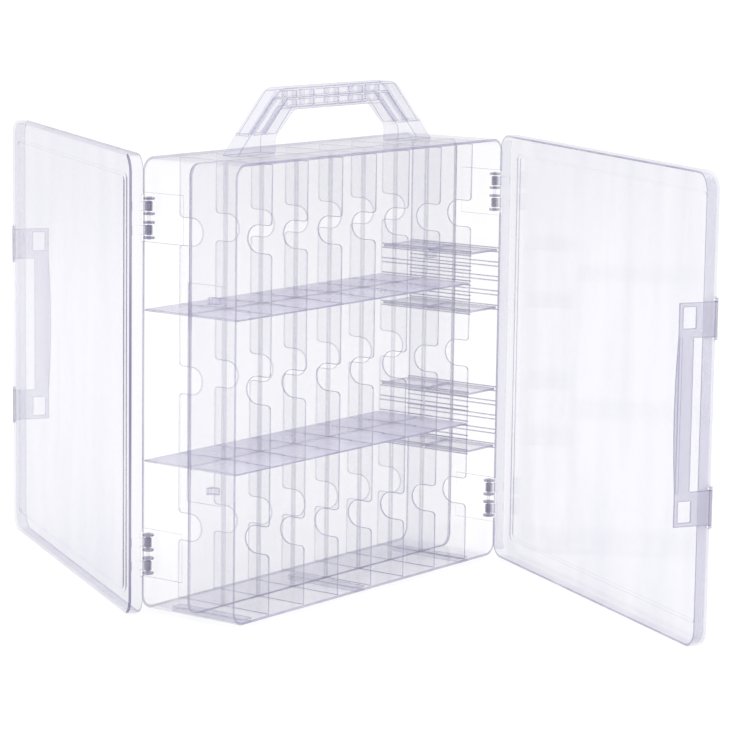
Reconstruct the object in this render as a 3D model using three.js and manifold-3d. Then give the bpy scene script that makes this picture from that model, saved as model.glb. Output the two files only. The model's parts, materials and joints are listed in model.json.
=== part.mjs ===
// Double-sided sewing organiser: a clear moulded case that stands on edge, split by a middle
// partition into a front and a back, each with three rows of eight compartments. Two clear
// lids swing on upright pins at opposite corners and snap shut with a long pull latch.
// Millimetres, +Z up, the front faces -Y. The origin is the middle of the underside, on the
// table. The lids stand open at rest.
import * as THREE from 'three';
import { mergeVertices } from 'three/addons/utils/BufferGeometryUtils.js';
import Module from 'manifold-3d';

const wasm = await Module();
wasm.setup();

// ---- driving dimensions ---------------------------------------------------------------
const WIDTH = 326;              // case, outside, along X
const DEPTH = 86;               // case, rim to rim, along Y
const HEIGHT = 330;             // case, outside, along Z
const WALL = 2;                 // case side walls
const CORNER = 11;              // outside corner radius of the case
const PARTITION = 1.6;          // upright sheet between front and back
const PLATE = 1.5;              // dividers and shelves
const GAP = 0.3;                // clearance between neighbouring pieces
const COLUMNS = 8;
const ROWS = 3;
const ARC_STEP = 18;            // degrees in each straight step of an arc
const CURVE_STEPS = 6;          // straight steps in a bend that is not an arc
const ROUND_SIDES = 16;         // sides of a small round bar, bore or pin
const OVERCUT = 1;              // how far a cutting shape stands out past what it cuts
const SAME_POINT = 1e-4;        // corners closer than this are one corner

const FOOT_HEIGHT = 3.2;        // three foot bars moulded under the case
const FOOT_WIDTH = 12;
const FOOT_LENGTH = 68;
const FOOT_SPACING = 135;

const NOTCH_HEIGHT = 20;        // finger notch in each divider, one in each row
const NOTCH_DEPTH = 22;
const NOTCH_MOUTH = 3.5;        // radius where the notch meets the divider's edge

const GROOVE_COUNT = 5;         // plate positions at each shelf height in the last column
const GROOVE_PITCH = 11.35;
const GROOVE_PAIR = 3.2;        // between the middles of the two ribs that hold a plate
const RIB_THICK = 0.9;
const RIB_HEIGHT = 1.2;
const RIB_ROOT = 0.5;           // how far a rib reaches into the sheet that it stands on
const SMALL_PLATE = 1.6;        // thickness of an adjustable plate
const SMALL_PLATE_SETBACK = 1;  // behind the rim

const LID_CLEAR = 0.8;          // between the case and the lid's skirt
const LID_WALL = 1.8;
const LID_PANEL = 1.6;
const LID_PROUD = 5;            // lid's outer face in front of the case's rim
const LID_DEPTH = 10.5;         // outer face to the end of the skirt
const LID_FIELD_INSET = 15;     // edge of the panel's stepped middle field
const LID_FIELD_STEP = 1.2;
const LID_FIELD_CORNER = 4;     // smallest corner radius of the stepped field
const FRONT_LID_OPEN = 60;      // degrees open at rest
const BACK_LID_OPEN = 58;

const HINGE_OFFSET = 122;       // hinge centres above and below the case's middle
const PIN_RADIUS = 1.2;
const PIN_OUT = 3.4;            // pin axis outside the case's side wall
const PIN_BACK = 9;             // pin axis behind the case's rim
const EAR_OFFSETS = [-14, -3.1, 3.1, 14];
const EAR_THICK = 1.6;
const EAR_RADIUS = 4.2;
const EAR_CLEAR = 1;            // room left round the ears in the lid's skirt
const KNUCKLE_RADIUS = 2.6;
const KNUCKLE_BORE = 1.6;
const SNAP_MOUTH = 2;           // slit that lets a knuckle snap over its pin
const PIN_HEAD_RADIUS = 2;
const PIN_HEAD = 0.8;

const LATCH_THICK = 1.6;
const LATCH_OUT = 1.8;          // latch pivot outside the lid's skirt
const LATCH_PIN_BACK = 1.8;     // latch pivot behind the lid's outer face
const LATCH_REACH = 28.7;       // pivot to the tip
const LATCH_BOW = 1.8;          // how far the grip bar's edge bows out
const LATCH_WINDOW_SPACING = 136;
const LATCH_WINDOW = [10, 15];  // along the reach, and along Z
const LATCH_LEG = [14, 10.5];   // leg's ends from its window's middle, inward and outward
const LATCH_BAR_FROM = 16.9;    // pivot to the near edge of the grip bar
const LATCH_WINDOW_FROM = 15.6; // pivot to the near edge of a window
const LATCH_LIP = [2.2, 1.2];   // ridge on the grip bar: width and height
const LATCH_KNUCKLE = 1.5;
const LATCH_PIN = 0.7;
const LATCH_EAR = [1.7, 2];     // radius and thickness

const HOOK_LENGTH = 8;          // catch on the case, along Y
const HOOK_WIDTH = 5;
const HOOK_OUT = 5;
const HOOK_FROM_RIM = 13.4;     // case rim to the near end of the catch
const HOOK_FLAT = 1.9;          // flat top of the catch behind its ramp
const POCKET_DEPTH = 0.5;       // shallow recesses round the hinges and the catches
const LATCH_POCKET = [31, 157]; // recess along Y and Z
const HINGE_POCKET = [38, 37];

const HANDLE_DEPTH = 14;
const HANDLE_HEIGHT = 47;
const HANDLE_FOOT = 118;        // half the length at the foot
const HANDLE_TOP = 70;          // half the length at the top corners
const HANDLE_ROUND = 7;
const OPENING_FOOT = 74.5;      // half the length of the hand opening at the bottom
const OPENING_TOP = 52.5;
const OPENING_KNEE = 12;        // height where the opening starts to slant
const GRIP_UNDERSIDE = 31;
const GRIP_RIBS = [-50, -29.5, 0, 29.5, 50];
const HANDLE_SKIN = 2.2;        // rims left round the handle's pockets
const HANDLE_SLANT_SKIN = 3.3;  // the same rim on a slanted arm, measured level
const HANDLE_RIB = 1.6;
const HANDLE_WEB = 2;
const HANDLE_STEP = 15;         // height of the closed foot blocks

// ---- places worked out from them ------------------------------------------------------
const BOTTOM = FOOT_HEIGHT;
const TOP = BOTTOM + HEIGHT;
const MIDDLE = (BOTTOM + TOP) / 2;
const RIM = DEPTH / 2;
const SIDE = WIDTH / 2;
const INNER_SIDE = SIDE - WALL;
const PITCH = WIDTH / COLUMNS;
const ROW_PITCH = HEIGHT / ROWS;
const SHELF_HEIGHTS = [BOTTOM + ROW_PITCH, BOTTOM + 2 * ROW_PITCH];
const BACK_OF_BAY = PARTITION / 2 + GAP;
const LAP = (BACK_OF_BAY + RIM) / 2;
const DIVIDER_XS = Array.from({ length: COLUMNS - 1 }, (_, i) => (i + 1) * PITCH - SIDE);
const LAST_DIVIDER_X = DIVIDER_XS[COLUMNS - 2];
const LID_MARGIN = LID_CLEAR + LID_WALL;
const LID_FACE = RIM + LID_PROUD;
const LID_SIDE = SIDE + LID_MARGIN;
const PIN_X = SIDE + PIN_OUT;
const PIN_Y = RIM - PIN_BACK;
const LATCH_X = LID_SIDE + LATCH_OUT;
const LATCH_Y = LID_FACE - LATCH_PIN_BACK;
const HINGE_HEIGHTS = [MIDDLE - HINGE_OFFSET, MIDDLE + HINGE_OFFSET];
const HINGE_HALF = EAR_OFFSETS[3] + EAR_THICK / 2 + GAP + PIN_HEAD;
const HALF_TURN = Math.PI;

// ---- making solids --------------------------------------------------------------------
function block([x0, x1], [y0, y1], [z0, z1]) {
  const geometry = new THREE.BoxGeometry(x1 - x0, y1 - y0, z1 - z0);
  geometry.translate((x0 + x1) / 2, (y0 + y1) / 2, (z0 + z1) / 2);
  return geometry;
}

function extrude(shape, depth) {
  return new THREE.ExtrudeGeometry(shape, { depth, bevelEnabled: false, curveSegments: CURVE_STEPS });
}

// An outline drawn in Y and Z, filled from x = from to x = to.
function alongX(shape, from, to) {
  const geometry = extrude(shape, to - from);
  const turn = new THREE.Matrix4().makeBasis(
    new THREE.Vector3(0, 1, 0), new THREE.Vector3(0, 0, 1), new THREE.Vector3(1, 0, 0));
  geometry.applyMatrix4(turn);
  geometry.translate(from, 0, 0);
  return geometry;
}

// An outline drawn in X and Z, filled from y = from to y = to.
function alongY(shape, from, to) {
  const geometry = extrude(shape, to - from);
  geometry.rotateX(Math.PI / 2);
  geometry.translate(0, to, 0);
  return geometry;
}

// An outline drawn in X and Y, filled from z = from to z = to.
function alongZ(shape, from, to) {
  const geometry = extrude(shape, to - from);
  geometry.translate(0, 0, from);
  return geometry;
}

// An upright round bar.
function upright(x, y, radius, from, to) {
  const geometry = new THREE.CylinderGeometry(radius, radius, to - from, ROUND_SIDES);
  geometry.rotateX(Math.PI / 2);
  geometry.translate(x, y, (from + to) / 2);
  return geometry;
}

function outline(points) {
  return new THREE.Shape(points.map(([a, b]) => new THREE.Vector2(a, b)));
}

// Points on a circle; the angles are in degrees.
function arc(a, b, radius, from, to) {
  const steps = Math.ceil(Math.abs(to - from) / ARC_STEP);
  return Array.from({ length: steps + 1 }, (_, i) => {
    const angle = THREE.MathUtils.degToRad(from + (to - from) * i / steps);
    return [a + radius * Math.cos(angle), b + radius * Math.sin(angle)];
  });
}

function roundedRectangle(halfWidth, bottom, top, radius) {
  const a = halfWidth - radius;
  return outline([
    ...arc(a, bottom + radius, radius, -90, 0),
    ...arc(a, top - radius, radius, 0, 90),
    ...arc(-a, top - radius, radius, 90, 180),
    ...arc(-a, bottom + radius, radius, 180, 270),
  ]);
}

function toSolid(geometry) {
  const bare = geometry.clone();
  bare.deleteAttribute('normal');
  bare.deleteAttribute('uv');
  const merged = mergeVertices(bare, SAME_POINT);
  return new wasm.Manifold(new wasm.Mesh({
    numProp: 3,
    vertProperties: merged.attributes.position.array,
    triVerts: Uint32Array.from(merged.index.array),
  }));
}

// The first shape with the added ones joined on and the removed ones cut away, in that order.
function combine(base, added, removed) {
  let solid = toSolid(base);
  for (const geometry of added) {
    solid = solid.add(toSolid(geometry));
  }
  for (const geometry of removed) {
    solid = solid.subtract(toSolid(geometry));
  }
  const mesh = solid.getMesh();
  const result = new THREE.BufferGeometry();
  result.setAttribute('position', new THREE.BufferAttribute(mesh.vertProperties, 3));
  result.setIndex(new THREE.BufferAttribute(mesh.triVerts, 1));
  return result;
}

// The same shapes on the opposite corner of the case.
function halfTurn(geometries) {
  return geometries.map((geometry) => geometry.clone().rotateZ(HALF_TURN));
}

// ---- materials ------------------------------------------------------------------------
function clearPlastic(color, opacity) {
  return new THREE.MeshStandardMaterial({
    color, roughness: 0.08, metalness: 0, transparent: true, opacity,
  });
}

const caseClear = clearPlastic(0xc9c8dc, 0.35);
const plateClear = clearPlastic(0xd2d1e3, 0.32);
const lidClear = clearPlastic(0xcdccdf, 0.3);
const fittingClear = clearPlastic(0x9c97bf, 0.55);

const organiser = new THREE.Group();

function addPiece(parent, name, geometry, material) {
  geometry.computeVertexNormals();
  const mesh = new THREE.Mesh(geometry, material);
  mesh.name = name;
  parent.add(mesh);
}

// ---- case -----------------------------------------------------------------------------
// Ribs that hold the adjustable plates, between x0 and x1, on one side of the partition.
function grooveRibs(side, x0, x1) {
  const ys = [side * BACK_OF_BAY, side * RIM].sort((a, b) => a - b);
  const ribs = [];
  for (const shelf of SHELF_HEIGHTS) {
    for (let i = 0; i < GROOVE_COUNT; i += 1) {
      const centre = shelf + (i - (GROOVE_COUNT - 1) / 2) * GROOVE_PITCH;
      for (const z of [centre - GROOVE_PAIR / 2, centre + GROOVE_PAIR / 2]) {
        ribs.push(block([x0, x1], ys, [z - RIB_THICK / 2, z + RIB_THICK / 2]));
      }
    }
  }
  return ribs;
}

// The four ears that carry one hinge pin, at the front right corner.
function hingeEars(height) {
  const ear = outline([
    [SIDE - WALL / 2, -PIN_Y - EAR_RADIUS],
    ...arc(PIN_X, -PIN_Y, EAR_RADIUS, -90, 90),
    [SIDE - WALL / 2, -PIN_Y + EAR_RADIUS],
  ]);
  ear.holes.push(outline(arc(PIN_X, -PIN_Y, PIN_RADIUS + GAP, 0, 360 - ARC_STEP)));
  return EAR_OFFSETS.map((offset) => alongZ(
    ear, height + offset - EAR_THICK / 2, height + offset + EAR_THICK / 2));
}

// A snap catch for the front lid's latch, on the left wall.
function catchHook(height) {
  const near = -RIM + HOOK_FROM_RIM;
  const hook = outline([
    [-SIDE + WALL / 2, near],
    [-SIDE, near],
    [-SIDE - HOOK_OUT, near + HOOK_LENGTH - HOOK_FLAT],
    [-SIDE - HOOK_OUT, near + HOOK_LENGTH],
    [-SIDE + WALL / 2, near + HOOK_LENGTH],
  ]);
  return alongZ(hook, height - HOOK_WIDTH / 2, height + HOOK_WIDTH / 2);
}

function makeCaseWall() {
  const ring = roundedRectangle(SIDE, BOTTOM, TOP, CORNER);
  ring.holes.push(roundedRectangle(INNER_SIDE, BOTTOM + WALL, TOP - WALL, CORNER - WALL));
  const hooks = [-1, 1].map((s) => catchHook(MIDDLE + s * LATCH_WINDOW_SPACING / 2));
  const ears = HINGE_HEIGHTS.flatMap(hingeEars);
  const feet = [-1, 0, 1].map((i) => block(
    [i * FOOT_SPACING - FOOT_WIDTH / 2, i * FOOT_SPACING + FOOT_WIDTH / 2],
    [-FOOT_LENGTH / 2, FOOT_LENGTH / 2], [0, BOTTOM + WALL / 2]));
  const ribs = [-1, 1].flatMap((side) => grooveRibs(
    side, INNER_SIDE - RIB_HEIGHT, INNER_SIDE + WALL / 2));
  const latchPocket = block(
    [-SIDE - OVERCUT, -SIDE + POCKET_DEPTH], [-LATCH_POCKET[0], 0],
    [MIDDLE - LATCH_POCKET[1] / 2, MIDDLE + LATCH_POCKET[1] / 2]);
  const hingePockets = HINGE_HEIGHTS.map((height) => block(
    [SIDE - POCKET_DEPTH, SIDE + OVERCUT], [-RIM - OVERCUT, -RIM + HINGE_POCKET[0]],
    [height - HINGE_POCKET[1] / 2, height + HINGE_POCKET[1] / 2]));
  const pockets = [latchPocket, ...hingePockets];
  const shell = combine(alongY(ring, -RIM, RIM), [], [...pockets, ...halfTurn(pockets)]);
  const fittings = [...hooks, ...ears];
  return combine(shell, [...fittings, ...halfTurn(fittings), ...feet, ...ribs], []);
}

addPiece(organiser, 'case_wall', makeCaseWall(), caseClear);

const partitionOutline = roundedRectangle(
  INNER_SIDE - GAP, BOTTOM + WALL + GAP, TOP - WALL - GAP, CORNER - WALL);
addPiece(organiser, 'partition', alongY(partitionOutline, -PARTITION / 2, PARTITION / 2), caseClear);

// ---- dividers, shelves and adjustable plates ------------------------------------------
// One finger notch in a divider's free edge, as points running up that edge.
function fingerNotch(height) {
  const half = NOTCH_HEIGHT / 2;
  return [
    ...arc(RIM - NOTCH_MOUTH, height - half - NOTCH_MOUTH, NOTCH_MOUTH, 0, 90),
    ...arc(RIM - NOTCH_DEPTH + half, height, half, 270, 90),
    ...arc(RIM - NOTCH_MOUTH, height + half + NOTCH_MOUTH, NOTCH_MOUTH, -90, 0),
  ];
}

// A divider's outline: notches along the free edge and, where shelves cross it, half-lap
// slots in the edge at the partition. side is -1 in front of the partition and 1 behind it.
function dividerOutline(side, crossed) {
  const low = BOTTOM + WALL + GAP;
  const high = TOP - WALL - GAP;
  const points = [[BACK_OF_BAY, low], [RIM, low]];
  for (let row = 0; row < ROWS; row += 1) {
    points.push(...fingerNotch(BOTTOM + (row + 0.5) * ROW_PITCH));
  }
  points.push([RIM, high], [BACK_OF_BAY, high]);
  const slots = crossed ? [...SHELF_HEIGHTS].reverse() : [];
  for (const shelf of slots) {
    const half = PLATE / 2 + GAP;
    points.push(
      [BACK_OF_BAY, shelf + half], [LAP + GAP / 2, shelf + half],
      [LAP + GAP / 2, shelf - half], [BACK_OF_BAY, shelf - half]);
  }
  return outline(points.map(([y, z]) => [side * y, z]));
}

// A shelf's outline: from the left wall to the last divider, with a half-lap slot in its
// free edge for each divider that it crosses.
function shelfOutline(side) {
  const left = -INNER_SIDE + GAP;
  const right = LAST_DIVIDER_X - PLATE / 2 - GAP;
  const half = PLATE / 2 + GAP;
  const points = [[left, BACK_OF_BAY], [left, RIM]];
  for (const x of DIVIDER_XS.slice(0, -1)) {
    points.push([x - half, RIM], [x - half, LAP - GAP / 2], [x + half, LAP - GAP / 2], [x + half, RIM]);
  }
  points.push([right, RIM], [right, BACK_OF_BAY]);
  return outline(points.map(([x, y]) => [x, side * y]));
}

function addInterior(side, sideName) {
  DIVIDER_XS.forEach((x, i) => {
    const isLast = i === DIVIDER_XS.length - 1;
    const sheet = alongX(dividerOutline(side, !isLast), x - PLATE / 2, x + PLATE / 2);
    const face = x + PLATE / 2;
    const divider = isLast
      ? combine(sheet, grooveRibs(side, face - RIB_ROOT, face + RIB_HEIGHT), [])
      : sheet;
    addPiece(organiser, `${sideName}_divider_${i + 1}`, divider, plateClear);
  });
  SHELF_HEIGHTS.forEach((height, i) => {
    const shelf = alongZ(shelfOutline(side), height - PLATE / 2, height + PLATE / 2);
    addPiece(organiser, `${sideName}_shelf_${['lower', 'upper'][i]}`, shelf, plateClear);
  });
  addSmallPlates(side, sideName);
}

// The loose plates sit in the outermost grooves of each group.
function addSmallPlates(side, sideName) {
  const xs = [LAST_DIVIDER_X + PLATE / 2 + GAP, INNER_SIDE - GAP];
  const ys = [side * BACK_OF_BAY, side * (RIM - SMALL_PLATE_SETBACK)].sort((a, b) => a - b);
  const reach = (GROOVE_COUNT - 1) / 2 * GROOVE_PITCH;
  const heights = SHELF_HEIGHTS.flatMap((shelf) => [shelf - reach, shelf + reach]);
  heights.forEach((z, i) => {
    const plate = block(xs, ys, [z - SMALL_PLATE / 2, z + SMALL_PLATE / 2]);
    addPiece(organiser, `${sideName}_small_plate_${i + 1}`, plate, plateClear);
  });
}

addInterior(-1, 'front');
addInterior(1, 'back');

// ---- carrying handle ------------------------------------------------------------------
function handleOutline() {
  const shape = new THREE.Shape();
  const foot = TOP + GAP;
  const top = TOP + HANDLE_HEIGHT;
  const slope = (HANDLE_FOOT - HANDLE_TOP) / HANDLE_HEIGHT;
  shape.moveTo(-HANDLE_FOOT, foot);
  shape.lineTo(-HANDLE_TOP - slope * HANDLE_ROUND, top - HANDLE_ROUND);
  shape.quadraticCurveTo(-HANDLE_TOP, top, -HANDLE_TOP + HANDLE_ROUND, top);
  shape.lineTo(HANDLE_TOP - HANDLE_ROUND, top);
  shape.quadraticCurveTo(HANDLE_TOP, top, HANDLE_TOP + slope * HANDLE_ROUND, top - HANDLE_ROUND);
  shape.lineTo(HANDLE_FOOT, foot);
  shape.lineTo(OPENING_FOOT, foot);
  shape.lineTo(OPENING_FOOT, TOP + OPENING_KNEE);
  shape.lineTo(OPENING_TOP, TOP + GRIP_UNDERSIDE);
  shape.lineTo(-OPENING_TOP, TOP + GRIP_UNDERSIDE);
  shape.lineTo(-OPENING_FOOT, TOP + OPENING_KNEE);
  shape.lineTo(-OPENING_FOOT, foot);
  return shape;
}

// Pockets between the grip's upright ribs, above and below its middle rib.
function gripPockets() {
  const low = TOP + GRIP_UNDERSIDE + HANDLE_SKIN;
  const high = TOP + HANDLE_HEIGHT - HANDLE_SKIN;
  const middle = (low + high) / 2;
  const pockets = [];
  for (let i = 1; i < GRIP_RIBS.length; i += 1) {
    const x0 = GRIP_RIBS[i - 1] + HANDLE_RIB / 2;
    const x1 = GRIP_RIBS[i] - HANDLE_RIB / 2;
    for (const [z0, z1] of [[low, middle - HANDLE_RIB / 2], [middle + HANDLE_RIB / 2, high]]) {
      pockets.push(outline([[x0, z0], [x1, z0], [x1, z1], [x0, z1]]));
    }
  }
  return pockets;
}

// Pockets in one arm, each side of the rib that runs down its middle. sign is -1 or 1 in X.
function armPockets(sign) {
  const outerX = (z) => THREE.MathUtils.mapLinear(
    z, TOP, TOP + HANDLE_HEIGHT, HANDLE_FOOT, HANDLE_TOP) - HANDLE_SLANT_SKIN;
  const innerX = (z) => THREE.MathUtils.mapLinear(
    z, TOP + OPENING_KNEE, TOP + GRIP_UNDERSIDE, OPENING_FOOT, OPENING_TOP) + HANDLE_SLANT_SKIN;
  const middleX = (z) => (outerX(z) + innerX(z)) / 2;
  const start = GRIP_RIBS[GRIP_RIBS.length - 1] + HANDLE_RIB / 2;
  const low = TOP + HANDLE_STEP;
  const bend = TOP + GRIP_UNDERSIDE;
  const high = TOP + HANDLE_HEIGHT - HANDLE_SKIN;
  const middle = (bend + HANDLE_SKIN + high) / 2;
  const half = HANDLE_RIB / 2;
  const outer = [
    [outerX(low), low], [outerX(high), high], [start, high], [start, middle + half],
    [middleX(middle + half) + half, middle + half], [middleX(low) + half, low],
  ];
  const inner = [
    [middleX(low) - half, low], [middleX(middle - half) - half, middle - half],
    [start, middle - half], [start, bend + HANDLE_SKIN], [innerX(bend), bend + HANDLE_SKIN],
    [innerX(low), low],
  ];
  return [outer, inner].map((points) => outline(points.map(([x, z]) => [sign * x, z])));
}

// The foot blocks are hollow from below.
function footHollow(sign) {
  const xs = [OPENING_FOOT + HANDLE_SKIN, HANDLE_FOOT - HANDLE_STEP - 2 * HANDLE_SKIN]
    .map((x) => sign * x).sort((a, b) => a - b);
  const y = HANDLE_DEPTH / 2 - HANDLE_SKIN;
  return block(xs, [-y, y], [TOP - OVERCUT, TOP + HANDLE_STEP - HANDLE_SKIN]);
}

function makeHandle() {
  const face = HANDLE_DEPTH / 2;
  const web = HANDLE_WEB / 2;
  const pockets = [...gripPockets(), ...armPockets(-1), ...armPockets(1)];
  const cuts = pockets.flatMap((shape) => [
    alongY(shape, -face - OVERCUT, -web), alongY(shape, web, face + OVERCUT),
  ]);
  return combine(
    alongY(handleOutline(), -face, face), [], [...cuts, footHollow(-1), footHollow(1)]);
}

addPiece(organiser, 'carrying_handle', makeHandle(), fittingClear);

// ---- lids, latches and pins -----------------------------------------------------------
// The front lid is drawn shut, in the case's place, and every piece of it is then moved so
// that its pin is at the middle of a group, which turns it. The back lid is the same one
// turned round to the opposite corner.
function lidKnuckles() {
  const knuckles = [];
  const cuts = [];
  for (const height of HINGE_HEIGHTS) {
    cuts.push(upright(PIN_X, -PIN_Y, KNUCKLE_BORE, height - HINGE_HALF, height + HINGE_HALF));
    for (const [a, b] of [[EAR_OFFSETS[0], EAR_OFFSETS[1]], [EAR_OFFSETS[2], EAR_OFFSETS[3]]]) {
      const z0 = height + a + EAR_THICK / 2 + GAP;
      const z1 = height + b - EAR_THICK / 2 - GAP;
      knuckles.push(upright(PIN_X, -PIN_Y, KNUCKLE_RADIUS, z0, z1));
      knuckles.push(block([LID_SIDE - LID_WALL, LID_SIDE], [-LID_FACE + LID_PANEL, -PIN_Y], [z0, z1]));
      cuts.push(block(
        [PIN_X - SNAP_MOUTH / 2, PIN_X + SNAP_MOUTH / 2],
        [-PIN_Y, -PIN_Y + 2 * KNUCKLE_RADIUS], [z0 - GAP, z1 + GAP]));
    }
  }
  return { knuckles, cuts };
}

// The middles and the two ends of the latch's legs, above and below the case's middle.
function latchLegs() {
  return [-1, 1].map((sign) => {
    const window = MIDDLE + sign * LATCH_WINDOW_SPACING / 2;
    const ends = [window - sign * LATCH_LEG[0], window + sign * LATCH_LEG[1]];
    return { window, ends: ends.sort((a, b) => a - b) };
  });
}

// Ears on the lid's skirt that carry the latch pins.
function latchEars() {
  const [radius, thick] = LATCH_EAR;
  const ears = [];
  const xs = [-LATCH_X, -LID_SIDE + LID_WALL / 2];
  const ys = [-LATCH_Y - radius, -LATCH_Y + radius];
  for (const { ends: [low, high] } of latchLegs()) {
    for (const zs of [[low - GAP - thick, low - GAP], [high + GAP, high + GAP + thick]]) {
      ears.push(upright(-LATCH_X, -LATCH_Y, radius, ...zs));
      ears.push(block(xs, ys, zs));
    }
  }
  const bores = latchLegs().map(({ ends: [low, high] }) => upright(
    -LATCH_X, -LATCH_Y, LATCH_PIN + GAP, low - GAP - thick - OVERCUT, high + GAP + thick + OVERCUT));
  return { ears, bores };
}

function lidOutline(inset) {
  const margin = LID_MARGIN - inset;
  const radius = Math.max(CORNER + margin, LID_FIELD_CORNER);
  return roundedRectangle(SIDE + margin, BOTTOM - margin, TOP + margin, radius);
}

function makeLid() {
  const face = -LID_FACE;
  const inside = face + LID_PANEL;
  const rim = face + LID_DEPTH;
  const { knuckles, cuts } = lidKnuckles();
  const { ears, bores } = latchEars();
  const cavity = alongY(lidOutline(LID_WALL), inside, rim + OVERCUT);
  const field = alongY(lidOutline(LID_FIELD_INSET), inside - GAP, inside + LID_FIELD_STEP);
  const fieldRecess = alongY(
    lidOutline(LID_FIELD_INSET + LID_PANEL), face - OVERCUT, face + LID_FIELD_STEP);
  const earRoom = HINGE_HEIGHTS.map((height) => block(
    [SIDE - EAR_CLEAR, LID_SIDE + OVERCUT], [-PIN_Y - EAR_RADIUS - EAR_CLEAR, rim + OVERCUT],
    [height - HINGE_HALF - EAR_CLEAR, height + HINGE_HALF + EAR_CLEAR]));
  const tray = combine(
    alongY(lidOutline(0), face, rim), [], [cavity, fieldRecess, ...earRoom]);
  return combine(tray, [field, ...knuckles, ...ears], [...cuts, ...bores, fieldRecess]);
}

function latchOutline() {
  const tip = -LATCH_Y + LATCH_REACH;
  const bar = -LATCH_Y + LATCH_BAR_FROM;
  const [{ ends: [low, lowInner] }, { ends: [highInner, high] }] = latchLegs();
  const shape = new THREE.Shape();
  shape.moveTo(-LATCH_Y, low);
  shape.lineTo(tip, low);
  shape.lineTo(tip, lowInner);
  shape.quadraticCurveTo(tip + 2 * LATCH_BOW, MIDDLE, tip, highInner);
  shape.lineTo(tip, high);
  shape.lineTo(-LATCH_Y, high);
  shape.lineTo(-LATCH_Y, highInner);
  shape.lineTo(bar, highInner);
  shape.lineTo(bar, lowInner);
  shape.lineTo(-LATCH_Y, lowInner);
  const [reach, height] = LATCH_WINDOW;
  for (const { window } of latchLegs()) {
    const near = -LATCH_Y + LATCH_WINDOW_FROM;
    shape.holes.push(outline([
      [near, window - height / 2], [near, window + height / 2],
      [near + reach, window + height / 2], [near + reach, window - height / 2],
    ]));
  }
  return shape;
}

function makeLatch() {
  const legs = latchLegs();
  const [lipWidth, lipHeight] = LATCH_LIP;
  const tip = -LATCH_Y + LATCH_REACH;
  const outside = -LATCH_X - LATCH_THICK / 2;
  const sheet = alongX(latchOutline(), outside, -LATCH_X + LATCH_THICK / 2);
  const lip = block(
    [outside - lipHeight, outside + LATCH_THICK / 2], [tip - lipWidth, tip],
    [legs[0].ends[1], legs[1].ends[0]]);
  const knuckles = legs.map(({ ends: [low, high] }) => upright(
    -LATCH_X, -LATCH_Y, LATCH_KNUCKLE, low, high));
  const bores = legs.map(({ ends: [low, high] }) => upright(
    -LATCH_X, -LATCH_Y, LATCH_PIN + GAP, low - OVERCUT, high + OVERCUT));
  return combine(sheet, [lip, ...knuckles], bores);
}

// A pin with a head at its upper end, turned on a lathe profile and stood upright.
function makePin(x, y, radius, headRadius, low, high) {
  const profile = [
    [0, low], [radius, low], [radius, high - PIN_HEAD], [headRadius, high - PIN_HEAD],
    [headRadius, high], [0, high],
  ];
  const points = profile.map(([r, z]) => new THREE.Vector2(r, z));
  const geometry = new THREE.LatheGeometry(points, ROUND_SIDES);
  geometry.rotateX(Math.PI / 2);
  geometry.translate(x, y, 0);
  return geometry;
}

function addLid(name, corner, openDegrees) {
  const hinge = new THREE.Group();
  hinge.position.set(Math.cos(corner) * PIN_X, -Math.cos(corner) * PIN_Y, 0);
  hinge.rotation.z = corner + THREE.MathUtils.degToRad(openDegrees);
  organiser.add(hinge);

  const atHinge = (geometry) => geometry.translate(-PIN_X, PIN_Y, 0);
  addPiece(hinge, `${name}_lid`, atHinge(makeLid()), lidClear);
  addPiece(hinge, `${name}_latch`, atHinge(makeLatch()), fittingClear);
  latchLegs().forEach(({ ends: [low, high] }, i) => {
    const overhang = GAP + LATCH_EAR[1];
    const pin = makePin(
      -LATCH_X, -LATCH_Y, LATCH_PIN, LATCH_EAR[0], low - overhang, high + overhang + GAP + PIN_HEAD);
    addPiece(hinge, `${name}_latch_pin_${['lower', 'upper'][i]}`, atHinge(pin), fittingClear);
  });

  HINGE_HEIGHTS.forEach((height, i) => {
    const pin = makePin(
      PIN_X, -PIN_Y, PIN_RADIUS, PIN_HEAD_RADIUS, height - HINGE_HALF + PIN_HEAD, height + HINGE_HALF);
    const placed = pin.rotateZ(corner);
    addPiece(organiser, `${name}_lid_pin_${['lower', 'upper'][i]}`, placed, fittingClear);
  });
}

addLid('front', 0, FRONT_LID_OPEN);
addLid('back', HALF_TURN, BACK_LID_OPEN);

export default organiser;
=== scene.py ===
"""Clear double-sided sewing organiser, built round its CAD frame and laid out as a Blender add-on.

A moulded polystyrene case stands on edge. A partition and its dividers and shelves make rows of
compartments front and back. Two lids swing on upright pins and shut with a long pull latch, and
small loose plates slot into the last column. Everything is in metres, in the frame's own axes.
"""

import json
import math

import bmesh
import bpy
from mathutils import Matrix, Vector


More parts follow.
